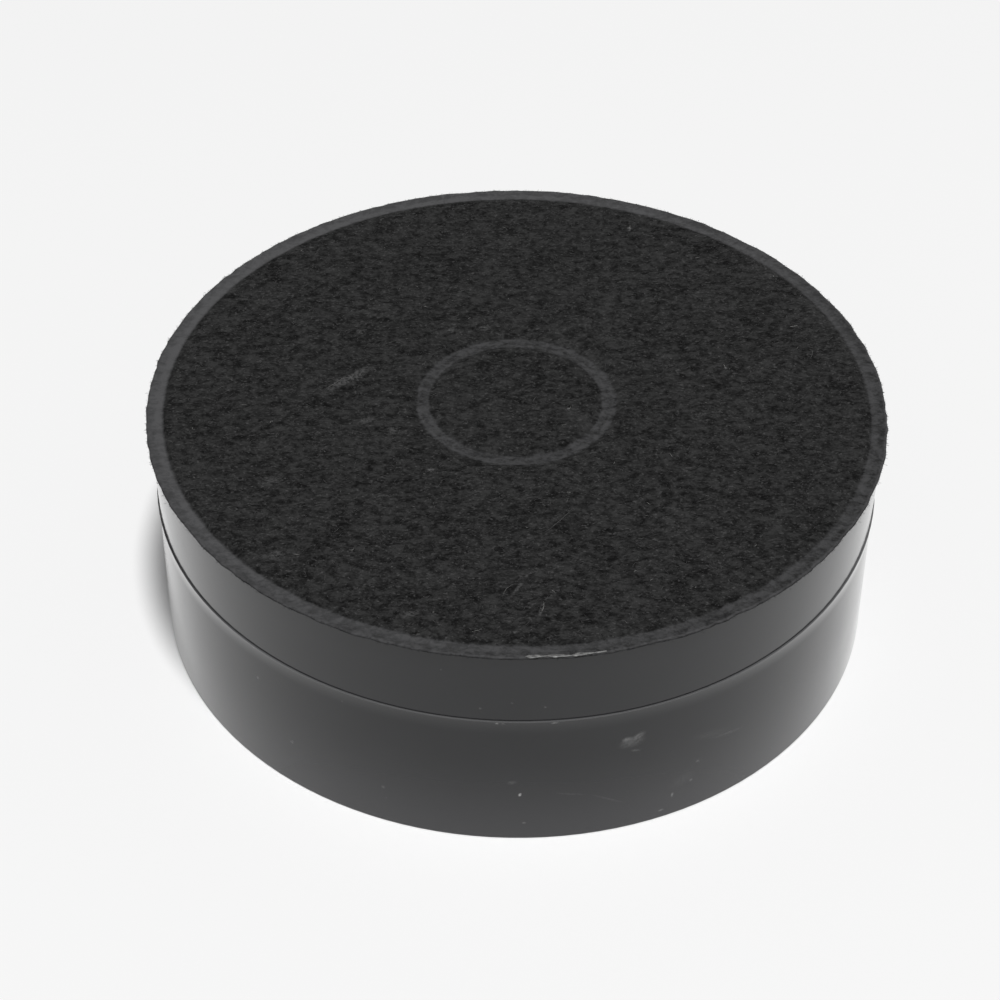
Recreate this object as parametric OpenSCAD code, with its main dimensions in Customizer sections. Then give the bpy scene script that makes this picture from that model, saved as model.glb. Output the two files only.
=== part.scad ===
// Round charcoal filter cartridge for a cooker hood.
// It stands on its grille side, with the felt welded over the top.
// Origin at the centre of the base rim, +Z up towards the felt. Millimetres.

/* [Body] */
// Outside diameter of the tub's wall
body_d = 150; // [120:1:190]
// Height of the weld land that carries the top felt
body_h = 50; // [44:0.1:70]
// Thickness of the outer wall
wall_t = 2; // [1.8:0.1:3]
// Rounding of the edge that the filter stands on
foot_r = 0.3; // [0.2:0.1:0.9]
// How far the frame's band widens from the seam up to the felt
band_flare = 0.5; // [0:0.1:0.8]

/* [Seam between the two mouldings] */
// Height of the lower edge of the divider frame's band
seam_h = 33.1; // [20:0.1:38]
// Open gap between the band and the tub's lip
seam_gap = 0.1; // [0.05:0.05:0.4]
// Height over which the tub swells out to its lip
lip_h = 3.7; // [2:0.1:6]
// How far the lip stands out, which leaves the ledge that shows as a dark line round the wall
lip_out = 0.3; // [0.1:0.05:0.6]
// Height of the tub's tongue inside the band
lap_h = 3.7; // [2:0.1:5]
// Thickness of the tongue
tongue_t = 0.9; // [0.6:0.05:1]
// Depth of the snap bead round the tongue
bead_out = 0.25; // [0.1:0.05:0.35]
// Half the height of the snap bead
bead_half_h = 0.6; // [0.3:0.1:0.9]

/* [Weld lands for the felt] */
// Width of the land round the rim
land_w = 2.2; // [2.1:0.1:5]
// Thickness of the land where it stands in from the wall
land_t = 1.6; // [1:0.1:3]
// Width of the land round the hub
hub_land_w = 3.2; // [2:0.1:5]
// How far the dividers and the granules stay below the lands
top_drop = 0.8; // [0.4:0.1:1.2]

/* [Hub and bayonet socket] */
// Inside diameter of the hub tube
socket_d = 34.5; // [30:0.5:44]
// Wall of the hub tube
tube_t = 1.85; // [1.2:0.05:2.5]
// Wall of the collar that the dividers meet round the tube
collar_t = 1.5; // [1:0.1:2.5]
// Thickness of the plate that closes the hub under the felt
cap_t = 2; // [1.2:0.1:4]
// Width of the closed plate round the hub in the base
hub_plate_w = 4; // [2:0.5:8]
// Diameter of the hole between the bayonet lugs
bayonet_d = 28; // [24:0.5:29]
// Thickness of the bayonet lugs
lug_t = 2.4; // [1.6:0.1:4]
// Number of bayonet notches
notch_count = 3; // [2:1:4]
// Angle that one notch takes, in degrees
notch_a = 26; // [16:1:40]
// Depth of the notches behind the edge of the hole
notch_deep = 2.4; // [1.5:0.1:2.8]
// Height of the stop on each lug
stop_h = 3.2; // [2:0.1:6]
// Width of each stop
stop_w = 1.6; // [1:0.1:3]
// How far each stop stays behind the edge of the hole
stop_back = 0.5; // [0.2:0.1:1.5]
// Radius of the detent bead across each lug
detent_r = 0.45; // [0.2:0.05:0.8]
// Angle that the filter turns before its keys lock, in degrees
turn_a = 45; // [36:1:50]
// Play on each side of a locked key, in degrees
key_play_a = 1.5; // [0.5:0.5:3]

/* [Grille in the base] */
// How far the grille lies above the foot
grille_z = 1; // [0.6:0.1:3]
// Height of the fine bars
bar_h = 2.4; // [1.5:0.1:4]
// Width of the fine bars at the felt side
bar_w = 1.5; // [1:0.1:2.5]
// Width of the main bars at the felt side
main_bar_w = 2.6; // [1.8:0.1:4]
// How far the main bars and the hub plate stand out below the fine bars
main_bar_out = 0.6; // [0:0.1:0.6]
// Draft on each flank of the bars, measured as the width lost
bar_draft = 0.2; // [0.05:0.05:0.35]
// Number of rings between the hub plate and the wall
ring_count = 3; // [2:1:5]
// Bars in one sector inside the first ring
inner_bars = 2; // [1:1:3]
// Bars in one sector outside the first ring
outer_bars = 4; // [2:1:5]

/* [Divider walls] */
// Number of divider walls and of granule fills
divider_count = 8; // [4:1:10]
// Thickness of each divider wall
divider_t = 1.2; // [0.8:0.1:2]

/* [Felt and granules] */
// Thickness of the top felt where it is not pressed
felt_t = 2; // [1.2:0.1:3]
// Thickness of the top felt where it is welded
pressed_t = 0.7; // [0.4:0.1:1]
// How far the cut edge of the top felt stands over the band
felt_over = 0.7; // [0:0.05:0.8]
// Width of the slope from the pressed rings up to the full felt
felt_slope = 0.8; // [0.4:0.1:1.5]
// Thickness of the felt on the grille
base_felt_t = 2; // [1:0.1:3]

/* [Fits] */
// Clearance between the moulded pieces
fit_gap = 0.15; // [0.1:0.05:0.25]
// Clearance round the felt and the granules
soft_gap = 0.3; // [0.2:0.05:0.4]

/* [Hidden] */
$fn = 120;

moulding_colour = "#2c2d30";
felt_colour = "#232324";
carbon_colour = "#141414";

body_r = body_d / 2;
wall_in = body_r - wall_t;
tongue_out = wall_in + tongue_t;
skirt_in = tongue_out + fit_gap;
ledge_z = seam_h - seam_gap;
lip_curve_r = (lip_h * lip_h + lip_out * lip_out) / (2 * lip_out);
band_top_r = body_r + band_flare;
lap_top = seam_h + lap_h;
bead_z = seam_h + lap_h / 2;

socket_r = socket_d / 2;
tube_out = socket_r + tube_t;
collar_in = tube_out + fit_gap;
hub_r = collar_in + collar_t;
hub_land_in = hub_r - hub_land_w;
land_in = body_r - land_w;
plate_r = hub_r + hub_plate_w;
bayonet_r = bayonet_d / 2;

grille_top = grille_z + bar_h;
fill_bottom = grille_top + base_felt_t;
fill_top = body_h - top_drop;
cap_bottom = fill_top - cap_t;
tube_top = cap_bottom - fit_gap;
sector_a = 360 / divider_count;
ring_pitch = (wall_in - plate_r) / (ring_count + 1);
notch_step = 360 / notch_count;
// How far joined shapes run into each other, and how far a cut runs past a face
root = 0.4;

// Points of an arc about a centre, from one angle to another
function arc(centre, r, from, to, steps = 5) =
    [for (i = [0:steps]) let (a = from + (to - from) * i / steps) centre + r * [cos(a), sin(a)]];

// Half section of the tub's outer wall, with its foot, the lip that curves out, and the tongue
function tub_wall_points() = concat(
    [[wall_in, 0]],
    arc([body_r - foot_r, foot_r], foot_r, -90, 0),
    arc([body_r + lip_curve_r, ledge_z - lip_h], lip_curve_r, 180, 180 - asin(lip_h / lip_curve_r), 10),
    [[tongue_out, ledge_z],
     [tongue_out, bead_z - bead_half_h],
     [tongue_out + bead_out, bead_z],
     [tongue_out, bead_z + bead_half_h],
     [tongue_out, lap_top],
     [wall_in, lap_top]]);

// Half section of the hub: mouth with its lugs, tube, and the closed plate round it
function tub_hub_points() =
    [[bayonet_r, 0],
     [hub_r, 0],
     [hub_r, grille_z - main_bar_out],
     [plate_r, grille_z - main_bar_out],
     [plate_r, grille_top],
     [tube_out, grille_top],
     [tube_out, tube_top],
     [socket_r, tube_top],
     [socket_r, lug_t],
     [bayonet_r, lug_t]];

// Half section of the frame's outer band, with the skirt over the tongue and the weld land
function band_points() =
    [[wall_in, lap_top],
     [skirt_in, lap_top],
     [skirt_in, bead_z + bead_half_h],
     [skirt_in + bead_out, bead_z],
     [skirt_in, bead_z - bead_half_h],
     [skirt_in, seam_h],
     [body_r, seam_h],
     [band_top_r, body_h],
     [land_in, body_h],
     [land_in, body_h - land_t],
     [wall_in, body_h - land_t - (wall_in - land_in)]];

// Half section of the frame's collar and the plate that closes the hub
function collar_points() =
    [[0, cap_bottom],
     [collar_in, cap_bottom],
     [collar_in, fill_bottom],
     [hub_r, fill_bottom],
     [hub_r, body_h],
     [hub_land_in, body_h],
     [hub_land_in, fill_top],
     [0, fill_top]];

// Side view of one divider wall, from the collar to the band
function divider_points() =
    let (foot = hub_r - collar_t / 2, clear = wall_in - soft_gap, join = wall_in + wall_t / 2)
    [[foot, fill_bottom],
     [clear, fill_bottom],
     [clear, lap_top + soft_gap],
     [join, lap_top + soft_gap],
     [join, fill_top],
     [foot, fill_top]];

// Half section of the top felt, pressed thin over both weld lands
function top_felt_points() =
    let (full = fill_top + felt_t, pressed = body_h + pressed_t, edge = band_top_r + felt_over)
    [[0, fill_top],
     [hub_land_in - felt_slope, fill_top],
     [hub_land_in, body_h],
     [hub_r, body_h],
     [hub_r + felt_slope, fill_top],
     [land_in - felt_slope, fill_top],
     [land_in, body_h],
     [edge, body_h],
     [edge, pressed],
     [land_in, pressed],
     [land_in - felt_slope, full],
     [hub_r + felt_slope, full],
     [hub_r, pressed],
     [hub_land_in, pressed],
     [hub_land_in - felt_slope, full],
     [0, full]];

// Half section of the granules, stepped in under the weld land
function fill_points() =
    let (inner = hub_r + soft_gap, outer = wall_in - soft_gap, neck = land_in - soft_gap,
         step_z = body_h - land_t - (outer - neck) - 2 * soft_gap)
    [[inner, fill_bottom],
     [outer, fill_bottom],
     [outer, step_z],
     [neck, step_z + outer - neck],
     [neck, fill_top],
     [inner, fill_top]];

// Section of a grille bar: wide at the felt, narrower at the outside
module bar_section(w, h) {
    polygon([[-w / 2 + bar_draft, 0], [w / 2 - bar_draft, 0], [w / 2, h], [-w / 2, h]]);
}

// Straight grille bar from one radius to another, with its top at the felt
module bar(from_r, to_r, w, h) {
    translate([from_r, 0, grille_top - h])
        rotate([90, 0, 90]) linear_extrude(to_r - from_r) bar_section(w, h);
}

// Ring of the grille
module bar_ring(r) {
    rotate_extrude() translate([r, grille_z]) bar_section(bar_w, bar_h);
}

// Main bars under the divider walls, fine bars between them, and the rings
module grille() {
    wall_mid = wall_in + wall_t / 2;
    first_ring = plate_r + ring_pitch;
    for (i = [0:divider_count - 1]) rotate(i * sector_a) {
        bar(plate_r - root, wall_mid, main_bar_w, bar_h + main_bar_out);
        for (j = [1:1:inner_bars - 1])
            rotate(j * sector_a / inner_bars) bar(plate_r - root, first_ring, bar_w, bar_h);
        for (j = [1:1:outer_bars - 1])
            rotate(j * sector_a / outer_bars) bar(first_ring, wall_mid, bar_w, bar_h);
    }
    for (k = [1:ring_count]) bar_ring(plate_r + k * ring_pitch);
}

// Stop and detent bead on the inner face of each bayonet lug, one each side of a locked key
module lug_catches() {
    stop_in = bayonet_r + stop_back;
    key_side_a = notch_a / 2 + key_play_a;
    for (i = [0:notch_count - 1]) rotate(i * notch_step) {
        rotate(turn_a + key_side_a) translate([stop_in, 0, lug_t - root])
            cube([socket_r + root - stop_in, stop_w, stop_h + root]);
        rotate(turn_a - key_side_a) translate([stop_in, 0, lug_t]) rotate([0, 90, 0])
            cylinder(r = detent_r, h = socket_r + root - stop_in);
    }
}

// Notches that let the hood's keys past the lugs
module notches() {
    for (i = [0:notch_count - 1]) rotate(i * notch_step - notch_a / 2)
        translate([0, 0, -root]) rotate_extrude(angle = notch_a)
            translate([bayonet_r - root, 0]) square([notch_deep + root, lug_t + 2 * root]);
}

// Lower moulding: wall, grille, hub tube and bayonet lugs in one piece
module tub() {
    color(moulding_colour) difference() {
        union() {
            rotate_extrude() polygon(tub_wall_points());
            rotate_extrude() polygon(tub_hub_points());
            grille();
            lug_catches();
        }
        notches();
    }
}

// Upper moulding: band above the seam, divider walls and the closed hub collar
module divider_frame() {
    color(moulding_colour) {
        rotate_extrude() polygon(band_points());
        rotate_extrude() polygon(collar_points());
        for (i = [0:divider_count - 1]) rotate(i * sector_a)
            translate([0, divider_t / 2, 0]) rotate([90, 0, 0])
                linear_extrude(divider_t) polygon(divider_points());
    }
}

// Felt ring that keeps the granules off the grille
module base_felt() {
    color(felt_colour) translate([0, 0, grille_top]) difference() {
        cylinder(r = wall_in - soft_gap, h = base_felt_t);
        translate([0, 0, -root]) cylinder(r = tube_out + soft_gap, h = base_felt_t + 2 * root);
    }
}

// Felt disc welded over the top
module top_felt() {
    color(felt_colour) rotate_extrude() polygon(top_felt_points());
}

// Charcoal granules between two divider walls
module carbon_fill(i) {
    side = divider_t / 2 + soft_gap;
    color(carbon_colour) rotate(i * sector_a) difference() {
        rotate_extrude(angle = sector_a) polygon(fill_points());
        for (a = [0, sector_a]) rotate(a)
            translate([0, -side, 0]) cube([body_r, 2 * side, body_h]);
    }
}

tub();
divider_frame();
base_felt();
top_felt();
for (i = [1:divider_count])
    carbon_fill(i - 1);
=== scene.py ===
import math

import bpy
import numpy as np
from mathutils import Matrix, Vector


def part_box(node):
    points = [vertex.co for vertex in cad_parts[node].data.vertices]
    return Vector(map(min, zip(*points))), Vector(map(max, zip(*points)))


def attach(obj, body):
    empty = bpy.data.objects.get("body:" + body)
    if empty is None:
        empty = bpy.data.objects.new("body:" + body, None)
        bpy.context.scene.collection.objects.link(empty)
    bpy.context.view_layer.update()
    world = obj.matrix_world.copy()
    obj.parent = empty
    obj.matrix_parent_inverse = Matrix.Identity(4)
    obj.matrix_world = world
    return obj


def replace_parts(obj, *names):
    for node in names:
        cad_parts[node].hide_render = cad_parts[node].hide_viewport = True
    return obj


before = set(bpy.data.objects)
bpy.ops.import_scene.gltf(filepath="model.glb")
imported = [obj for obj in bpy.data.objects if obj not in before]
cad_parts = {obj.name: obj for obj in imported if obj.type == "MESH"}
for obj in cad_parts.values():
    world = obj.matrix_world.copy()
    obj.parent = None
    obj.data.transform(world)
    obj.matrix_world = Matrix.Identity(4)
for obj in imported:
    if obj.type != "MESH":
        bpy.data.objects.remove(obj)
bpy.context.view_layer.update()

MM = 0.001
SEED = 23

# Sizes of the pieces in millimetres, read from the frame
LIP_OUT = 0.3
WALL_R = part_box("tub")[1].x / MM - LIP_OUT
FELT_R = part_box("top_felt")[1].x / MM
FELT_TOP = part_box("top_felt")[1].z / MM
FELT_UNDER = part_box("top_felt")[0].z / MM
BASE_FELT_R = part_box("base_felt")[1].x / MM
BASE_FELT_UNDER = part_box("base_felt")[0].z / MM
BASE_FELT_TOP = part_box("base_felt")[1].z / MM

# Weld rings of the top felt: height of the land, of the pressed felt, and each ring's radii
LAND_Z = 50.0
PRESSED_Z = 50.7
HUB_RING = (17.55, 20.9)
HUB_RING_X = -0.22
HUB_RING_GROOVE = 19.3
# The rim ring is painted paler towards this side: painted light, from where the light falls.
PAINTED_LIGHT_SIDE = math.radians(145)
RIM_RING = (72.8, 90.0)
PRESS_SLOPE = 0.8

# Melted fibres: where the melting starts and is full, measured from each edge of a ring, and its strength
HUB_MELT_IN = (-0.4, 0.7)
HUB_MELT_OUT = (-0.7, 0.5)
HUB_MELT = 0.52
GROOVE_HALF = 0.4
GROOVE_LESS = 0.14
RIM_MELT_IN = (-0.6, 0.5)
RIM_CUT_BAND = (-2.2, -1.4)
RIM_CUT_LESS = 0.2
# Share by which the rim ring's painted light swings from its lit side to the far side
RIM_PAINTED_LIGHT_SWING = 0.25

# Relief of the loose felt: how far its mean lies under the top, and the share of the waves that shows
FELT_SINK = 0.1
RELIEF_SHARE = 0.6

# The felt was welded on a little off the centre, and its cut edge wanders
FELT_OFF_BACK = 0.3
EDGE_WANDER = 0.13
EDGE_FRAY = 0.1

# Grille windows that the base felt swells into
SECTORS = 8
BARS_PER_SECTOR = 4
GRILLE_RINGS = (24.75, 36.81, 48.88, 60.94, 73.0)
BASE_HOLE_R = 19.4
WINDOW_SWELL = 0.45
BAR_HALF = 0.75
SWELL_REACH = 4.0
LUMP_REACH = 2.0

rng = np.random.default_rng(SEED)


# Helpers for shape

def ease(low, high, x):
    """Smooth step from 0 at low to 1 at high."""
    t = np.clip((x - low) / (high - low), 0, 1)
    return t * t * (3 - 2 * t)


def wave_set(count, shortest, longest, height):
    """Random plane waves whose sum is a soft relief of about that height."""
    length = np.exp(rng.uniform(np.log(shortest), np.log(longest), count))
    turn = rng.uniform(0, 2 * np.pi, count)
    pull = 2 * np.pi / length
    return pull * np.cos(turn), pull * np.sin(turn), rng.uniform(0, 2 * np.pi, count), height / np.sqrt(count)


def relief(waves, x, y):
    """Height of a wave set at points x, y."""
    kx, ky, phase, size = waves
    total = np.zeros_like(x)
    for a, b, c in zip(kx, ky, phase):
        total += size * np.sin(a * x + b * y + c)
    return total


def pressed(x, y):
    """How far the felt is pressed down at a place, from 0 to 1."""
    inner, outer = HUB_RING
    near, far = np.hypot(x - HUB_RING_X, y), np.hypot(x, y)
    hub = ease(inner - PRESS_SLOPE, inner, near) * (1 - ease(outer, outer + PRESS_SLOPE, near))
    return np.maximum(hub, ease(RIM_RING[0] - PRESS_SLOPE, RIM_RING[0], far))


def edge_ease(edge, reach, r):
    """Smooth step across an edge, from reach[0] to reach[1] away from it."""
    return ease(edge + reach[0], edge + reach[1], r)


def fused_and_painted_light(x, y):
    """How far the fibres are melted together, strongest along both edges of a weld ring, with the rim ring
    painted paler towards one side as painted light.
    """
    near, far = np.hypot(x - HUB_RING_X, y), np.hypot(x, y)
    hub = edge_ease(HUB_RING[0], HUB_MELT_IN, near) * (1 - edge_ease(HUB_RING[1], HUB_MELT_OUT, near))
    groove = np.exp(-((near - HUB_RING_GROOVE) / GROOVE_HALF) ** 2)
    rim = edge_ease(RIM_RING[0], RIM_MELT_IN, far) * (1 - RIM_CUT_LESS * edge_ease(FELT_R, RIM_CUT_BAND, far))
    # Painted light: the rim ring is painted paler towards one side.
    pale = 1 - RIM_PAINTED_LIGHT_SWING + RIM_PAINTED_LIGHT_SWING * np.cos(np.arctan2(y, x) - PAINTED_LIGHT_SIDE)
    return np.clip(hub * (HUB_MELT - GROOVE_LESS * groove) + rim * pale, 0, 1)


# Waves of the felt: how many, the shortest and longest in millimetres, and their height
WEB_WAVES = wave_set(18, 5, 22, 0.16)
LUMP_WAVES = wave_set(30, 1.3, 3.2, 0.055)
EDGE_WAVES = wave_set(16, 3, 40, EDGE_WANDER)
EDGE_FUZZ_WAVES = wave_set(24, 0.8, 2.2, 0.04)


def felt_height(x, y):
    """Height of the top felt's upper face."""
    p = pressed(x, y)
    loose = FELT_TOP - FELT_SINK + relief(WEB_WAVES, x, y) * RELIEF_SHARE + relief(LUMP_WAVES, x, y)
    flat = PRESSED_Z + relief(LUMP_WAVES, x, y) * RELIEF_SHARE
    return loose * (1 - p) + flat * p


def edge_radius(angle):
    """Radius of the top felt's cut edge, measured from the part's axis."""
    x, y = WALL_R * np.cos(angle), WALL_R * np.sin(angle)
    shift = FELT_OFF_BACK * np.sin(angle)
    return FELT_R + EDGE_FRAY + shift + relief(EDGE_WAVES, x, y) + relief(EDGE_FUZZ_WAVES, x, y)


def base_height(x, y):
    """Height of the base felt's lower face, which swells down into the grille's windows."""
    r, angle = np.hypot(x, y), np.arctan2(y, x)
    ring_gap = np.min([np.abs(r - ring) for ring in GRILLE_RINGS], axis=0)
    pitch = 2 * np.pi / (SECTORS * BARS_PER_SECTOR)
    inner_pitch = 2 * pitch
    step = np.where(r < GRILLE_RINGS[1], inner_pitch, pitch)
    bar_gap = r * np.abs((angle / step + 0.5) % 1 - 0.5) * step
    free = np.minimum(ring_gap, bar_gap)
    inside = (r > GRILLE_RINGS[0]) & (r < GRILLE_RINGS[-1])
    swell = np.where(inside, ease(BAR_HALF, SWELL_REACH, free), 0) * WINDOW_SWELL
    lumps = np.where(inside, ease(BAR_HALF, LUMP_REACH, free), 0)
    return BASE_FELT_UNDER - swell + relief(LUMP_WAVES, x, y) * lumps


# Helpers for meshes

def piece(name, points, faces, material):
    """A mesh object of the part from points in millimetres, riding on the part's one body."""
    mesh = bpy.data.meshes.new(name)
    mesh.from_pydata((np.asarray(points) * MM).tolist(), [], faces)
    mesh.polygons.foreach_set("use_smooth", np.ones(len(mesh.polygons), bool))
    mesh.materials.append(material)
    obj = bpy.data.objects.new(name, mesh)
    bpy.context.scene.collection.objects.link(obj)
    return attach(obj, "root")


def point_value(obj, name, values):
    """Stores one number per vertex for the material to read."""
    layer = obj.data.attributes.new(name, "FLOAT", "POINT")
    layer.data.foreach_set("value", np.asarray(values, dtype=np.float32))


def band_faces(first, second, count):
    """Quads between two rings of the same count, given their first vertex numbers."""
    return [(first + i, first + (i + 1) % count, second + (i + 1) % count, second + i) for i in range(count)]


def lathe(rings, cap_start=None, cap_end=None):
    """Points and faces of a skin over rings of equal count, closed at a centre point where one is given.

    Without caps the last ring joins the first, which makes a closed ring-shaped body.
    """
    count = len(rings[0])
    points = np.concatenate(rings)
    faces = []
    for k in range(len(rings) - 1):
        faces += band_faces(k * count, (k + 1) * count, count)
    if cap_start is None:
        faces += band_faces((len(rings) - 1) * count, 0, count)
        return points, faces
    start, end = len(points), len(points) + 1
    last = (len(rings) - 1) * count
    faces += [(start, (i + 1) % count, i) for i in range(count)]
    faces += [(end, last + i, last + (i + 1) % count) for i in range(count)]
    return np.vstack([points, cap_start, cap_end]), faces


def ring(r, z, angles):
    """Points of one ring, with its radius and height as numbers or as one value per angle."""
    return np.column_stack([r * np.cos(angles), r * np.sin(angles), np.broadcast_to(z, angles.shape)])


# Share of the full thickness at each place along a fibre, and how many sides and corners one fibre has
SPINDLE = np.array([0, 0.8, 1, 0.8, 0])
SPINDLE_SIDES = 3
START_TIP = SPINDLE_SIDES * (len(SPINDLE) - 2)
END_TIP = START_TIP + 1
SPINDLE_POINTS = START_TIP + 2


def spindle_faces():
    """Triangles of one fibre: rings of corners closed by a tip at each end."""
    last = START_TIP - SPINDLE_SIDES
    faces = []
    for k in range(SPINDLE_SIDES):
        n = (k + 1) % SPINDLE_SIDES
        faces += [(START_TIP, n, k), (END_TIP, last + k, last + n)]
        for low in range(0, last, SPINDLE_SIDES):
            high = low + SPINDLE_SIDES
            faces += [(low + k, low + n, high + n), (low + k, high + n, high + k)]
    return np.array(faces)


def fibres(name, x, y, heading, length, thick, curl, height_of, lift, material, tones):
    """Fine closed spindles that lie on a felt face: one row of values per fibre."""
    t = np.linspace(-0.5, 0.5, len(SPINDLE))
    turn = heading[:, None] + curl[:, None] * t
    step = length[:, None] / (len(SPINDLE) - 1)
    px = x[:, None] + np.cumsum(np.cos(turn) * step, axis=1)
    py = y[:, None] + np.cumsum(np.sin(turn) * step, axis=1)
    arch = 1 - (2 * t) ** 2
    pz = height_of(px, py) + lift[:, None] * arch
    body = (SPINDLE[None, :] * thick[:, None] / 2)[:, 1:-1]
    mid = np.stack([px, py, pz], axis=2)[:, 1:-1]
    side = np.stack([-np.sin(turn), np.cos(turn), np.zeros_like(turn)], axis=2)[:, 1:-1]
    corners = []
    for k in range(SPINDLE_SIDES):
        a = 2 * np.pi * k / SPINDLE_SIDES
        corners.append(mid + body[:, :, None] * (np.cos(a) * side + np.sin(a) * np.array([0, 0, 1.0])))
    loops = np.stack(corners, axis=2).reshape(len(x), START_TIP, 3)
    tips = np.stack([px, py, pz], axis=2)[:, [0, -1]]
    points = np.concatenate([loops, tips], axis=1).reshape(-1, 3)
    faces = (spindle_faces()[None] + SPINDLE_POINTS * np.arange(len(x))[:, None, None]).reshape(-1, 3)
    obj = piece(name, points, faces.tolist(), material)
    point_value(obj, "tone", np.repeat(tones, SPINDLE_POINTS))
    return obj


# Helpers for materials

def paint(hex_code):
    """An sRGB hex colour as linear red, green, blue and alpha."""
    parts = [int(hex_code[i:i + 2], 16) / 255 for i in (1, 3, 5)]
    return tuple(c / 12.92 if c <= 0.04045 else ((c + 0.055) / 1.055) ** 2.4 for c in parts) + (1.0,)


def add(tree, kind, settings=None, inputs=None):
    """Adds one shader node. Inputs are values, or sockets to link, by socket name or number."""
    made = tree.nodes.new(kind)
    for name, value in (settings or {}).items():
        setattr(made, name, value)
    for name, value in (inputs or {}).items():
        if isinstance(value, bpy.types.NodeSocket):
            tree.links.new(value, made.inputs[name])
        else:
            made.inputs[name].default_value = value
    return made


def start_material(name):
    """A material with an empty tree."""
    material = bpy.data.materials.new(name)
    material.use_nodes = True
    tree = material.node_tree
    tree.nodes.clear()
    return material, tree


def millimetres(tree):
    """The object's own coordinates in millimetres: a pattern's scale is then its repeats per millimetre."""
    place = add(tree, "ShaderNodeTexCoord").outputs["Object"]
    return add(tree, "ShaderNodeVectorMath", {"operation": "SCALE"}, {0: place, "Scale": 1 / MM}).outputs[0]


def finish_material(tree, shader):
    """Links the shader to the material's output."""
    add(tree, "ShaderNodeOutputMaterial", inputs={"Surface": shader.outputs[0]})


def blend_colour(tree, factor, low, high):
    """Mixes two colours, which are sockets or hex codes."""
    low, high = (paint(c) if isinstance(c, str) else c for c in (low, high))
    return add(tree, "ShaderNodeMix", {"data_type": "RGBA"}, {0: factor, 6: low, 7: high}).outputs[2]


def ramp(tree, value, low, high, to_low=0.0, to_high=1.0):
    """Maps a value from one range to another and clamps it."""
    return add(tree, "ShaderNodeMapRange", {"interpolation_type": "SMOOTHSTEP"},
               {0: value, 1: low, 2: high, 3: to_low, 4: to_high}).outputs[0]


def sums(tree, operation, first, second):
    """One arithmetic step between two values."""
    return add(tree, "ShaderNodeMath", {"operation": operation}, {0: first, 1: second}).outputs[0]


# A mark fades from this share of its oval to this, and runs right through the sheet
SPOT_FADE = (0.1, 1.1)
THROUGH = 1e6


def spots(tree, sheet, marks):
    """Soft oval marks on a flat pattern, as one strength.

    Each mark is x, y, half length, half width, turn in degrees, strength.
    """
    total = None
    for x, y, half_l, half_w, turn, strength in marks:
        local = add(tree, "ShaderNodeMapping", {"vector_type": "TEXTURE"}, {
            "Vector": sheet, "Location": (x, y, 0), "Rotation": (0, 0, math.radians(turn)),
            "Scale": (half_l, half_w, THROUGH)}).outputs[0]
        far = add(tree, "ShaderNodeVectorMath", {"operation": "LENGTH"}, {0: local}).outputs["Value"]
        spot = ramp(tree, far, *SPOT_FADE, strength, 0.0)
        total = spot if total is None else sums(tree, "ADD", total, spot)
    return total


# Heights on the wall where it starts to turn paler towards its foot and where it is palest, and the ledge whose
# edge is painted pale as a painted highlight
PALER_FOOT_TOP = 26.0
PALER_FOOT_FULL = -4.0
LEDGE_Z = 33.02
LEDGE_HIGHLIGHT_FADE = (0.1, 0.2)

# Patterns of the plastic in repeats per millimetre. Their real sizes: crumbs 0.6 mm, moulding grain 0.3 mm,
# clouds 11 mm, and dust specks 3.3 mm apart
CRUMBS = 1.6
MOULD_GRAIN = 3.2
MOULD_CLOUDS = 0.09
DUST_SPECKS = 0.3
GRAIN_DEPTH = 0.015
SPECK_STRENGTH = 0.12
RUB_ROUGHER = 0.2

# Only the outer face carries marks: they fade in between these distances behind the wall's radius
OUTER_FACE = (0.6, 0.2)

# Rubbed spots on the mouldings: millimetres round the wall from the front, height, and the rest as in spots
WALL_MARKS = [
    (21.9, 25.0, 1.3, 0.8, 10, 0.32),
    (24.3, 25.4, 1.8, 0.9, 25, 0.24),
    (23.0, 24.0, 3.2, 1.6, 10, 0.16),
    (23.9, 21.5, 1.3, 0.45, -10, 0.14),
    (1.1, 12.6, 0.38, 0.55, -20, 1.4),
    (-0.5, 16.0, 1.2, 0.6, 10, 0.13),
    (32.4, 5.6, 0.4, 0.8, 0, 0.35),
    (30.1, 2.1, 0.8, 0.4, 0, 0.25),
    (36.5, 8.0, 0.5, 0.5, 0, 0.2),
    (37.8, 12.8, 0.6, 0.4, 0, 0.18),
    (2.0, 4.5, 0.5, 0.4, 0, 0.18),
    (-3.5, 32.5, 0.45, 0.4, 0, 0.5),
    (-2.3, 32.5, 0.5, 0.3, 0, 0.2),
    (7.5, 32.5, 1.0, 0.35, 0, 0.32),
    (5.6, 36.8, 0.35, 0.35, 0, 0.2),
    (-6.7, 36.2, 0.35, 0.35, 0, 0.14),
    (-0.7, 38.0, 0.35, 0.3, 0, 0.12),
    (11.0, 12.1, 4.0, 0.35, -12, 0.05),
    (18.5, 9.3, 4.6, 0.35, -30, 0.05),
    (45.0, 17.0, 5.5, 0.5, -8, 0.06),
    (40.5, 19.0, 6.0, 1.4, -14, 0.035),
    (34.5, 9.0, 3.5, 2.0, 20, 0.035),
    (-55.8, 24.3, 0.6, 0.5, 0, 0.2),
    (-47.3, 11.8, 0.6, 0.5, 0, 0.2),
    (-26.3, 9.6, 0.5, 0.5, 0, 0.16),
    (-91.6, 18.3, 0.6, 0.5, 0, 0.16),
]


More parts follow.
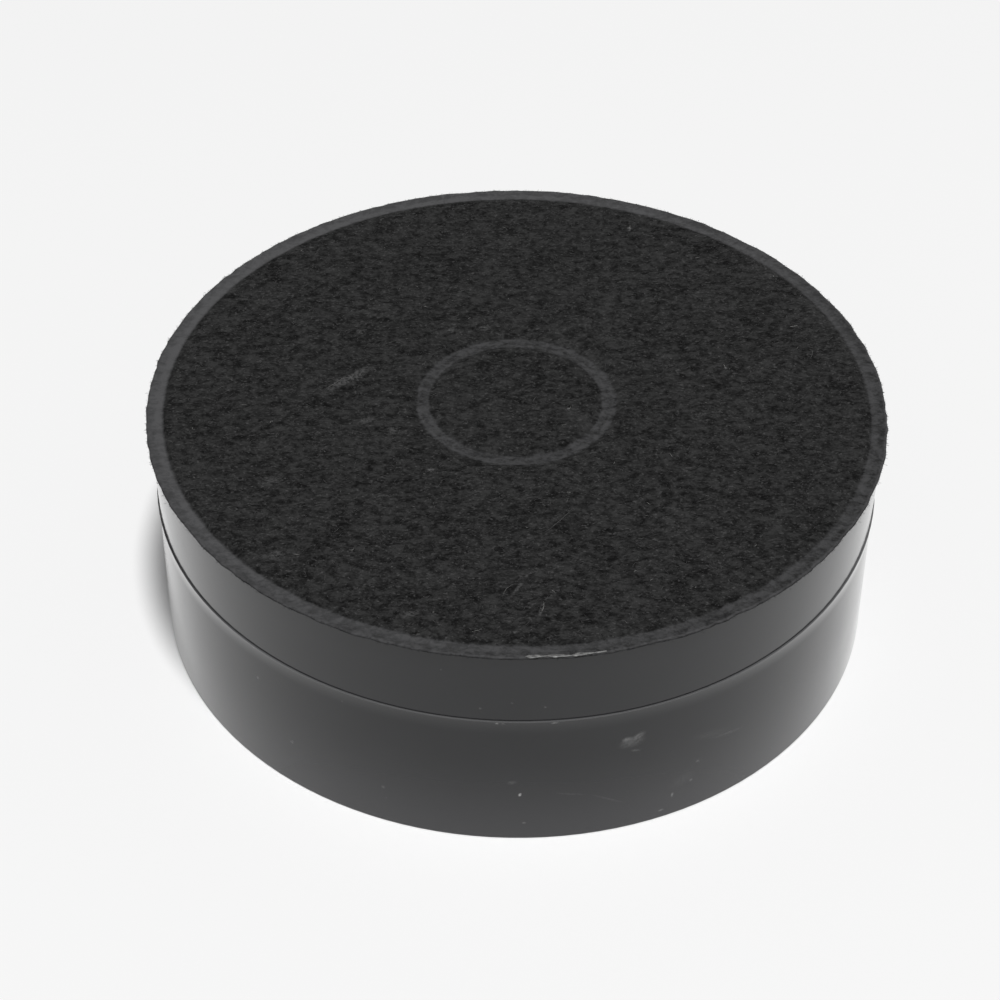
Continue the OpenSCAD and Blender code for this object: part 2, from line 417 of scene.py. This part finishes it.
def wall_sheet(tree, grain):
    """The wall unrolled flat, in millimetres from the front, and how far a place is on its outer face."""
    parts = add(tree, "ShaderNodeSeparateXYZ", inputs={0: grain}).outputs
    front = sums(tree, "MULTIPLY", parts[1], -1.0)
    angle = sums(tree, "ARCTAN2", parts[0], front)
    along = sums(tree, "MULTIPLY", angle, WALL_R)
    sheet = add(tree, "ShaderNodeCombineXYZ", inputs={0: along, 1: parts[2]}).outputs[0]
    across = add(tree, "ShaderNodeVectorMath", {"operation": "MULTIPLY"}, {0: grain, 1: (1, 1, 0)}).outputs[0]
    far = add(tree, "ShaderNodeVectorMath", {"operation": "LENGTH"}, {0: across}).outputs["Value"]
    return sheet, ramp(tree, far, WALL_R - OUTER_FACE[0], WALL_R - OUTER_FACE[1])


def moulded_polypropylene():
    """Injection-moulded polypropylene: satin black that mirrors the floor at a glancing view.

    The foot is painted a little paler, as in the photograph, which may be dust or light from the floor.
    """
    material, tree = start_material("moulded_polypropylene")
    grain = millimetres(tree)
    sheet, outside = wall_sheet(tree, grain)
    crumbs = add(tree, "ShaderNodeTexNoise", inputs={
        "Vector": sheet, "Scale": CRUMBS, "Detail": 4.0, "Roughness": 0.7}).outputs[0]
    marks = sums(tree, "MULTIPLY", spots(tree, sheet, WALL_MARKS), ramp(tree, crumbs, 0.25, 0.6))
    clouds = add(tree, "ShaderNodeTexNoise", inputs={
        "Vector": grain, "Scale": MOULD_CLOUDS, "Detail": 3.0}).outputs[0]
    fine = add(tree, "ShaderNodeTexNoise", inputs={
        "Vector": grain, "Scale": MOULD_GRAIN, "Detail": 3.0, "Roughness": 0.6}).outputs[0]
    dust = add(tree, "ShaderNodeTexVoronoi", inputs={"Vector": grain, "Scale": DUST_SPECKS})
    rare = ramp(tree, dust.outputs["Color"], 0.74, 0.78)
    speck = sums(tree, "MULTIPLY", ramp(tree, dust.outputs["Distance"], 0.03, 0.07, 1.0, 0.0), rare)
    faint = sums(tree, "MULTIPLY", speck, SPECK_STRENGTH)
    light = sums(tree, "ADD", sums(tree, "MULTIPLY", marks, outside), faint)
    height = add(tree, "ShaderNodeSeparateXYZ", inputs={0: grain}).outputs[2]
    plain_wall = blend_colour(tree, clouds, "#101113", "#17181b")
    # The wall is painted paler towards its foot.
    body = blend_colour(tree, ramp(tree, height, PALER_FOOT_TOP, PALER_FOOT_FULL), plain_wall, "#3a3a3c")
    # Painted highlight: the ledge at the seam is painted pale, where the real ledge catches the light.
    near_seam = sums(tree, "ABSOLUTE", sums(tree, "SUBTRACT", height, LEDGE_Z), 0.0)
    ledge_highlight = sums(tree, "MULTIPLY", ramp(tree, near_seam, *LEDGE_HIGHLIGHT_FADE, 1.0, 0.0), outside)
    with_ledge_highlight = blend_colour(tree, ledge_highlight, body, "#565657")
    rubbed = blend_colour(tree, light, with_ledge_highlight, "#b8b8b8")
    shine = add(tree, "ShaderNodeMapRange", inputs={0: clouds, 1: 0.3, 2: 0.7, 3: 0.17, 4: 0.23}).outputs[0]
    rough = sums(tree, "ADD", shine, sums(tree, "MULTIPLY", light, RUB_ROUGHER))
    bump = add(tree, "ShaderNodeBump", inputs={"Strength": 0.3, "Distance": GRAIN_DEPTH * MM, "Height": fine})
    finish_material(tree, add(tree, "ShaderNodeBsdfPrincipled", inputs={
        "Base Color": rubbed, "Roughness": rough, "IOR": 1.43, "Coat Weight": 1.0, "Coat Roughness": 0.13,
        "Coat IOR": 1.13, "Normal": bump.outputs[0], "Coat Normal": bump.outputs[0]}))
    return material


# Light rubs and smudges on the top felt, in millimetres, as in spots
FELT_MARKS = [
    (-34.6, 6.7, 7.0, 1.7, 41, 0.6),
    (-30.9, -7.3, 2.6, 1.2, 30, 0.35),
    (-25.2, -10.4, 2.2, 1.5, 60, 0.4),
    (-17.2, -22.8, 1.0, 0.8, 0, 1.0),
    (-6.8, 24.3, 1.6, 1.0, 0, 0.55),
    (-14.1, 23.3, 1.4, 0.9, 0, 0.4),
    (-33.3, 22.5, 1.6, 1.4, 0, 0.4),
    (-46.4, -48.8, 3.2, 1.6, 20, 0.4),
    (-48.4, -26.6, 3.6, 1.4, 12, 0.25),
    (0.1, -57.6, 3.0, 0.5, 62, 0.5),
    (4.7, -63.3, 2.0, 0.5, 80, 0.8),
    (-0.2, -69.4, 0.6, 0.5, 0, 0.9),
    (-20.0, -64.8, 2.6, 1.0, 15, 0.4),
    (31.2, -13.0, 2.4, 1.2, 25, 0.25),
    (25.1, 61.3, 0.6, 0.9, 0, 1.0),
    (10.6, -3.0, 0.5, 0.6, 0, 1.0),
    (43.7, 11.1, 0.5, 0.6, 0, 0.9),
]


# Patterns of the felt in repeats per millimetre: clumps 1.5 mm, tufts 0.5 mm, flecks 0.4 mm, clouds 8 mm
FELT_CLUMPS = 0.66
FELT_TUFTS = 1.9
FELT_FLECKS = 2.3
FELT_CLOUDS = 0.12
FELT_DEPTH = 0.2
COMB_TURN = math.radians(-9)
COMB_STRETCH = (0.7, 1.0, 1.0)
CLUMP_SHARE = 0.6
TUFT_SHARE = 0.4
CLOUD_SHARE = 0.5
FLECK_SHARE = 0.35
MOTTLE_SHARE = 0.45


def centred(tree, value, share):
    """A value from 0 to 1 turned into one that swings about 0, by that share."""
    return sums(tree, "MULTIPLY", sums(tree, "SUBTRACT", value, 0.5), share)


def needled_felt():
    """Needled polyester felt, cut and welded: near black, matt, clumped, and grey where the welds melted it;
    the rim weld is painted paler on one side as painted light.
    """
    material, tree = start_material("needled_felt")
    grain = millimetres(tree)
    melt_and_painted_light = add(tree, "ShaderNodeAttribute", {"attribute_name": "fused_and_painted_light"}).outputs["Fac"]
    combed = add(tree, "ShaderNodeMapping", inputs={
        "Vector": grain, "Rotation": (0, 0, COMB_TURN), "Scale": COMB_STRETCH}).outputs[0]
    clumps = add(tree, "ShaderNodeTexNoise", inputs={
        "Vector": combed, "Scale": FELT_CLUMPS, "Detail": 3.0,
        "Roughness": 0.64, "Distortion": 0.4}).outputs[0]
    tufts = add(tree, "ShaderNodeTexNoise", inputs={
        "Vector": combed, "Scale": FELT_TUFTS, "Detail": 3.0, "Roughness": 0.72}).outputs[0]
    flecks = ramp(tree, add(tree, "ShaderNodeTexNoise", inputs={
        "Vector": combed, "Scale": FELT_FLECKS, "Detail": 1.0}).outputs[0], 0.6, 0.76)
    clouds = add(tree, "ShaderNodeTexNoise", inputs={
        "Vector": grain, "Scale": FELT_CLOUDS, "Detail": 3.0}).outputs[0]
    coarse = sums(tree, "MULTIPLY", clumps, CLUMP_SHARE)
    web = sums(tree, "ADD", coarse, sums(tree, "MULTIPLY", tufts, TUFT_SHARE))
    shade = sums(tree, "ADD", ramp(tree, web, 0.34, 0.68), centred(tree, clouds, CLOUD_SHARE))
    matted = blend_colour(tree, shade, "#070707", "#353535")
    loose = blend_colour(tree, sums(tree, "MULTIPLY", flecks, FLECK_SHARE), matted, "#626262")
    smear = spots(tree, grain, FELT_MARKS)
    on_top = ramp(tree, add(tree, "ShaderNodeSeparateXYZ", inputs={0: grain}).outputs[2], FELT_UNDER, LAND_Z)
    smear = sums(tree, "MULTIPLY", sums(tree, "MULTIPLY", smear, ramp(tree, tufts, 0.35, 0.65)), on_top)
    rubbed = blend_colour(tree, smear, loose, "#6a6a6a")
    mottle = centred(tree, ramp(tree, web, 0.38, 0.62), MOTTLE_SHARE)
    # The melt value also carries the rim ring's painted light on one side.
    glaze = blend_colour(tree, sums(tree, "ADD", melt_and_painted_light, mottle), "#171717", "#4c4c4d")
    ragged = ramp(tree, sums(tree, "ADD", melt_and_painted_light, sums(tree, "SUBTRACT", web, 0.5)), 0.05, 0.5)
    colour = blend_colour(tree, ragged, rubbed, glaze)
    rough = add(tree, "ShaderNodeMapRange", inputs={0: melt_and_painted_light, 1: 0.0, 2: 1.0, 3: 0.97, 4: 0.62}).outputs[0]
    bump = add(tree, "ShaderNodeBump", inputs={"Strength": 0.8, "Distance": FELT_DEPTH * MM, "Height": web})
    finish_material(tree, add(tree, "ShaderNodeBsdfPrincipled", inputs={
        "Base Color": colour, "Roughness": rough, "IOR": 1.5, "Specular IOR Level": 0.1,
        "Normal": bump.outputs[0]}))
    return material


def loose_fibre():
    """Polyester staple fibre: mostly black, some grey and a few undyed ones that catch the eye."""
    material, tree = start_material("polyester_fibre")
    tone = add(tree, "ShaderNodeAttribute", {"attribute_name": "tone"}).outputs["Fac"]
    dyed = blend_colour(tree, ramp(tree, tone, 0.0, 0.65), "#101011", "#4d4d4d")
    colour = blend_colour(tree, ramp(tree, tone, 0.6, 1.0), dyed, "#a0a09d")
    finish_material(tree, add(tree, "ShaderNodeBsdfPrincipled", inputs={
        "Base Color": colour, "Roughness": 0.6, "IOR": 1.5, "Specular IOR Level": 0.15}))
    return material


# Mottle of the squeezed-out plastic, in repeats per millimetre: 0.9 mm
FLASH_MOTTLE = 1.1

# Charcoal grains in repeats per millimetre: 3.3 mm, and how deep the gaps between them look
CHARCOAL_GRAINS = 0.3
CHARCOAL_DEPTH = 1.0


def glint_painted_plastic():
    """Polypropylene squeezed out of the weld and set in air, glossy, with a pale grey painted on as a glint
    beside its own reflection.
    """
    material, tree = start_material("weld_flash")
    mottle = add(tree, "ShaderNodeTexNoise", inputs={
        "Vector": millimetres(tree), "Scale": FLASH_MOTTLE, "Detail": 3.0}).outputs[0]
    # Painted glint: the beads are painted pale grey on top of their real reflection.
    colour = blend_colour(tree, ramp(tree, mottle, 0.35, 0.65), "#3e3e3e", "#6c6c6b")
    finish_material(tree, add(tree, "ShaderNodeBsdfPrincipled", inputs={
        "Base Color": colour, "Roughness": 0.4, "IOR": 1.49}))
    return material


def charcoal_granules():
    """Broken activated charcoal, 3 to 4 mm grains: black, dull with small bright cleavage faces."""
    material, tree = start_material("charcoal_granules")
    grains = add(tree, "ShaderNodeTexVoronoi", inputs={"Vector": millimetres(tree), "Scale": CHARCOAL_GRAINS})
    shade = blend_colour(tree, grains.outputs["Color"], "#0e0e0e", "#1c1c1d")
    bump = add(tree, "ShaderNodeBump", inputs={
        "Strength": 1.0, "Distance": CHARCOAL_DEPTH * MM, "Height": grains.outputs["Distance"]})
    bump.invert = True
    finish_material(tree, add(tree, "ShaderNodeBsdfPrincipled", inputs={
        "Base Color": shade, "Roughness": 0.7, "Normal": bump.outputs[0]}))
    return material


# Pieces

# Where plastic came up through the felt: from and to in degrees, and how far in from the cut edge
FLASH_SPAN = (-88.8, -77.2)
FLASH_IN = 0.35
FLASH_STEPS = 90
FLASH_SIDES = 8

# The felt's cut edge, from its upper side down: distance in, distance down, and how far it is fused
EDGE_PROFILE = ((0.25, 0.02, 0.7), (0.08, 0.12, 0.6), (0.0, 0.3, 0.45), (0.08, 0.5, 0.3), (0.3, 0.7, 0.0))

# Rings of points of the two felts, from and to in millimetres and how many, and the points round each
DISC_POINTS = 560
DISC_RINGS = (1.2, 71.4, 107)
DISC_EDGE_RINGS = (71.9, 75.6, 10)
LINING_POINTS = 480
LINING_RINGS = 84

# The felt disc's underside, from the rim inward: radius and height of each fold
UNDERSIDE = (
    (74.0, LAND_Z),
    (RIM_RING[0], LAND_Z),
    (RIM_RING[0] - PRESS_SLOPE, FELT_UNDER),
    (46, FELT_UNDER),
    (HUB_RING[1] + PRESS_SLOPE, FELT_UNDER),
    (HUB_RING[1], LAND_Z),
    (HUB_RING[0], LAND_Z),
    (HUB_RING[0] - PRESS_SLOPE, FELT_UNDER),
    (6, FELT_UNDER),
)


def top_felt_piece(felt):
    """The welded felt disc: relief, pressed rings and a wandering cut edge."""
    angles = np.linspace(0, 2 * np.pi, DISC_POINTS, endpoint=False)
    edge = edge_radius(angles)
    radii = np.concatenate([np.linspace(*DISC_RINGS), np.linspace(*DISC_EDGE_RINGS)])
    rings, melt_and_painted_light = [], []
    for r in radii:
        pull = ease(RIM_RING[0], FELT_R, r)
        here = r + (edge - FELT_R) * pull
        x, y = here * np.cos(angles), here * np.sin(angles)
        rings.append(ring(here, felt_height(x, y), angles))
        melt_and_painted_light.append(fused_and_painted_light(x, y))
    for inset, drop, share in EDGE_PROFILE:
        rings.append(ring(edge - inset, PRESSED_Z - drop, angles))
        melt_and_painted_light.append(np.full(DISC_POINTS, share))
    for r, z in UNDERSIDE:
        rings.append(ring(r, z, angles))
        melt_and_painted_light.append(np.zeros(DISC_POINTS))
    points, faces = lathe(rings, (0, 0, FELT_TOP - FELT_SINK), (0, 0, FELT_UNDER))
    obj = piece("welded_felt_disc", points, faces, felt)
    point_value(obj, "fused_and_painted_light", np.concatenate(melt_and_painted_light + [np.zeros(2)]))
    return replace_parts(obj, "top_felt")


def base_felt_piece(felt):
    """The felt ring on the grille, swollen a little into each window."""
    angles = np.linspace(0, 2 * np.pi, LINING_POINTS, endpoint=False)
    rings = []
    for r in np.linspace(BASE_HOLE_R, BASE_FELT_R, LINING_RINGS):
        rings.append(ring(r, base_height(r * np.cos(angles), r * np.sin(angles)), angles))
    for r in (BASE_FELT_R, 60, 40, BASE_HOLE_R):
        rings.append(ring(r, BASE_FELT_TOP, angles))
    points, faces = lathe(rings)
    faces = [tuple(reversed(f)) for f in faces]
    obj = piece("grille_felt_ring", points, faces, felt)
    point_value(obj, "fused_and_painted_light", np.zeros(len(points)))
    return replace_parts(obj, "base_felt")


# How many loose fibres there are, and which way the top felt is combed
TOP_FIBRES = 12500
EDGE_FIBRES = 4200
LINING_FIBRES = 5200
COMBED_TO = math.radians(14)

# Shares of the fibres that are dark, and dark or grey: the rest are pale
DARK_SHARE = 0.72
DULL_SHARE = 0.992

# Share of the cut ends that stand out far
LONG_END_SHARE = 0.05


def scatter(count, inner, outer):
    """Random places in a ring, evenly by area."""
    r = np.sqrt(rng.uniform(inner ** 2, outer ** 2, count))
    a = rng.uniform(-np.pi, np.pi, count)
    return r * np.cos(a), r * np.sin(a)


def fibre_tones(count):
    """Mostly black fibres, some grey, a few pale."""
    kind = rng.uniform(0, 1, count)
    dark = rng.uniform(0, 0.35, count)
    grey = rng.uniform(0.4, 0.68, count)
    pale = rng.uniform(0.7, 1.0, count)
    return np.where(kind < DARK_SHARE, dark, np.where(kind < DULL_SHARE, grey, pale))


def top_fibres(fibre):
    """Loose fibres on the top felt, combed along X and leaning a little up to the right."""
    x, y = scatter(TOP_FIBRES, 0, RIM_RING[0] - 1.0)
    r = np.hypot(x - HUB_RING_X, y)
    keep = (r < HUB_RING[0] - 1) | (r > HUB_RING[1] + 1)
    x, y = x[keep], y[keep]
    n = len(x)
    heading = COMBED_TO + rng.normal(0, 0.65, n)
    length = np.clip(rng.lognormal(-0.25, 0.5, n), 0.35, 2.6)
    x = x - np.cos(heading) * length / 2
    y = y - np.sin(heading) * length / 2
    return fibres("felt_top_fibres", x, y, heading, length, rng.uniform(0.06, 0.12, n), rng.normal(0, 1.3, n),
                  lambda a, b: felt_height(a, b) - 0.03, rng.uniform(0.01, 0.16, n),
                  fibre, fibre_tones(n))


def edge_fuzz(fibre):
    """Short cut ends that stand out round the felt's edge."""
    n = EDGE_FIBRES
    angle = rng.uniform(-np.pi, np.pi, n)
    start = edge_radius(angle) - rng.uniform(0.15, 0.5, n)
    heading = angle + rng.normal(0, 0.75, n)
    level = rng.uniform(LAND_Z + 0.1, PRESSED_Z, n)
    far_out = rng.uniform(0, 1, n) < LONG_END_SHARE
    out = np.where(far_out, rng.uniform(0.55, 0.9, n), rng.uniform(0.2, 0.5, n))
    return fibres("felt_edge_fuzz", start * np.cos(angle), start * np.sin(angle), heading, out,
                  rng.uniform(0.05, 0.08, n), rng.normal(0, 0.8, n),
                  lambda a, b: np.broadcast_to(level[:, None], a.shape), rng.uniform(-0.1, 0.16, n),
                  fibre, fibre_tones(n) * 0.5)


def base_fibres(fibre):
    """Loose fibres on the felt behind the grille."""
    n = LINING_FIBRES
    x, y = scatter(n, GRILLE_RINGS[0] + 1.5, GRILLE_RINGS[-1] - 2.5)
    heading = rng.normal(0, 0.6, n)
    length = np.clip(rng.lognormal(0.3, 0.5, n), 0.5, 3.0)
    return fibres("grille_felt_fibres", x, y, heading, length,
                  rng.uniform(0.05, 0.085, n), rng.normal(0, 0.9, n),
                  lambda a, b: base_height(a, b) + 0.02, rng.uniform(-0.14, -0.01, n),
                  fibre, fibre_tones(n))


# Single long hairs that the eye finds: start x, y, heading in degrees, length, curl, tone
HAIRS = [
    (2.8, -43.6, 50, 10.8, 0.35, 0.72),
    (-41.4, 1.8, 44, 6.5, 0.5, 0.8),
    (-2.4, -62.0, 66, 6.0, -1.2, 0.75),
    (4.2, -65.0, 78, 3.6, 0.6, 0.95),
    (-9.5, -69.2, 12, 2.6, 0.8, 0.9),
    (60.6, 13.2, 70, 4.2, 0.9, 0.7),
    (43.6, 10.4, 100, 1.6, 0.5, 0.95),
    (10.4, -3.6, 65, 1.4, 0.4, 1.0),
    (25.0, 60.8, 80, 1.4, 0.3, 1.0),
    (-19.5, 1.4, 10, 3.6, 0.7, 0.7),
    (33.2, -32.0, 20, 5.5, 0.8, 0.65),
    (-52.4, 12.6, 5, 4.4, 0.5, 0.7),
]
HAIR_THICK = 0.09
HAIR_LIFT = 0.12


def long_hairs(fibre):
    """The single long hairs on the top felt."""
    x, y, turn, length, curl, tones = (np.array(column) for column in zip(*HAIRS))
    n = len(HAIRS)
    return fibres("stray_hairs", x, y, np.radians(turn), length, np.full(n, HAIR_THICK), curl,
                  lambda a, b: felt_height(a, b) + 0.01, np.full(n, HAIR_LIFT), fibre, tones)


def weld_flash(plastic):
    """Beads of plastic pressed up through the felt's edge at the front."""
    count, sides = FLASH_STEPS, FLASH_SIDES
    turn = np.radians(np.linspace(*FLASH_SPAN, count))
    s = np.linspace(0, 1, count)
    beads = np.abs(np.sin(s * math.pi * 3.4 + 0.3)) ** 0.6 * (0.8 + 0.2 * np.sin(s * 23))
    thick = 0.05 + 0.5 * beads * ease(0, 0.05, s) * (1 - ease(0.7, 1, s) * 0.7)
    points = []
    for k in range(sides):
        a = 2 * math.pi * k / sides
        r = edge_radius(turn) - FLASH_IN + thick * math.cos(a)
        points.append(ring(r, PRESSED_Z + 0.02 + 0.4 * thick * math.sin(a), turn))
    grid = np.stack(points, axis=1).reshape(-1, 3)
    faces = []
    for i in range(count - 1):
        for k in range(sides):
            n = (k + 1) % sides
            faces.append((i * sides + k, i * sides + n, (i + 1) * sides + n, (i + 1) * sides + k))
    faces.append(tuple(reversed(range(sides))))
    faces.append(tuple(range((count - 1) * sides, count * sides)))
    return piece("weld_flash", grid, faces, plastic)


# Studio: pale seamless floor, a soft light high above and a little in front, and an even room

PALE = 0.925
FLOOR_CARD = 0.8
KEY_WATTS = 331.0
KEY_SIZE = 0.9
KEY_FAR = 6.0
KEY_LEAN = math.radians(15)
KEY_SIDE = math.radians(-73)
KEY_LEVEL = 0.9
ROOM_LEVEL = 0.1
FLOOR_HALF = 3.0


def seen_by_eye(tree):
    """1 for rays that the camera or a mirror-like reflection sends, 0 for light bounced softly."""
    path = add(tree, "ShaderNodeLightPath").outputs
    return sums(tree, "MAXIMUM", path["Is Camera Ray"], path["Is Glossy Ray"])


def studio():
    """Floor, light and room. Part of the floor's pale look is for the eye and reflections: its shadow stays."""
    corners = [(FLOOR_HALF * x, FLOOR_HALF * y, 0) for x, y in ((-1, -1), (1, -1), (1, 1), (-1, 1))]
    mesh = bpy.data.meshes.new("floor")
    mesh.from_pydata(corners, [], [(0, 1, 2, 3)])
    floor = bpy.data.objects.new("floor", mesh)
    bpy.context.scene.collection.objects.link(floor)
    material, tree = start_material("studio_floor")
    own = PALE - FLOOR_CARD * (KEY_LEVEL + ROOM_LEVEL)
    glow = sums(tree, "MULTIPLY", seen_by_eye(tree), own)
    lift = add(tree, "ShaderNodeEmission", inputs={"Strength": glow})
    card = add(tree, "ShaderNodeBsdfDiffuse", inputs={"Color": (FLOOR_CARD, FLOOR_CARD, FLOOR_CARD, 1)})
    finish_material(tree, add(tree, "ShaderNodeAddShader", inputs={0: lift.outputs[0], 1: card.outputs[0]}))
    mesh.materials.append(material)

    lamp = bpy.data.lights.new("softbox", "AREA")
    lamp.shape = "DISK"
    lamp.size = KEY_SIZE
    lamp.energy = KEY_WATTS
    softbox = bpy.data.objects.new("softbox", lamp)
    bpy.context.scene.collection.objects.link(softbox)
    low = math.sin(KEY_LEAN)
    toward = Vector((low * math.cos(KEY_SIDE), low * math.sin(KEY_SIDE), math.cos(KEY_LEAN)))
    softbox.location = toward * KEY_FAR
    softbox.rotation_mode = "QUATERNION"
    softbox.rotation_quaternion = (-toward).to_track_quat("-Z", "Y")

    room = bpy.data.worlds.new("room")
    bpy.context.scene.world = room
    room.use_nodes = True
    sky = room.node_tree
    sky.nodes.clear()
    level = add(sky, "ShaderNodeMapRange", inputs={0: seen_by_eye(sky), 3: ROOM_LEVEL, 4: PALE}).outputs[0]
    light = add(sky, "ShaderNodeBackground", inputs={"Color": (1, 1, 1, 1), "Strength": level})
    add(sky, "ShaderNodeOutputWorld", inputs={"Surface": light.outputs[0]})


# Camera, solved from the felt's outline, the seam, the base and the side edges in the photograph:
# place and lens in millimetres, tilt and roll in radians
CAMERA_PLACE = (-3.3, -430.84, 397.64)
CAMERA_TILT = 0.7151
CAMERA_ROLL = 0.0092
CAMERA_LENS = 96.33
SENSOR = 36.0
NEAR_CLIP = 0.01
FAR_CLIP = 20


def camera():
    """The camera at the photograph's viewing angle."""
    data = bpy.data.cameras.new("camera")
    data.lens = CAMERA_LENS
    data.sensor_width = SENSOR
    data.clip_start = NEAR_CLIP
    data.clip_end = FAR_CLIP
    eye = bpy.data.objects.new("camera", data)
    bpy.context.scene.collection.objects.link(eye)
    ahead = Vector((0, math.cos(CAMERA_TILT), -math.sin(CAMERA_TILT)))
    above = Vector((0, math.sin(CAMERA_TILT), math.cos(CAMERA_TILT)))
    right = Vector((1, 0, 0))
    c, s = math.cos(CAMERA_ROLL), math.sin(CAMERA_ROLL)
    axes = Matrix((c * right + s * above, c * above - s * right, -ahead)).transposed()
    eye.matrix_world = Matrix.Translation(Vector(CAMERA_PLACE) * MM) @ axes.to_4x4()
    bpy.context.scene.camera = eye


def main():
    """Builds the pieces, dresses the carried-over nodes and sets up the studio."""
    camera()
    studio()
    plastic, felt, fibre = moulded_polypropylene(), needled_felt(), loose_fibre()
    charcoal = charcoal_granules()
    for name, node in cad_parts.items():
        node.data.materials.clear()
        node.data.materials.append(charcoal if name.startswith("carbon_fill") else plastic)
    disc = top_felt_piece(felt)
    loose = [top_fibres(fibre), edge_fuzz(fibre), long_hairs(fibre)]
    lining = base_felt_piece(felt)
    behind = base_fibres(fibre)
    weld_flash(glint_painted_plastic())


main()
bpy.context.scene.view_settings.view_transform = "Standard"
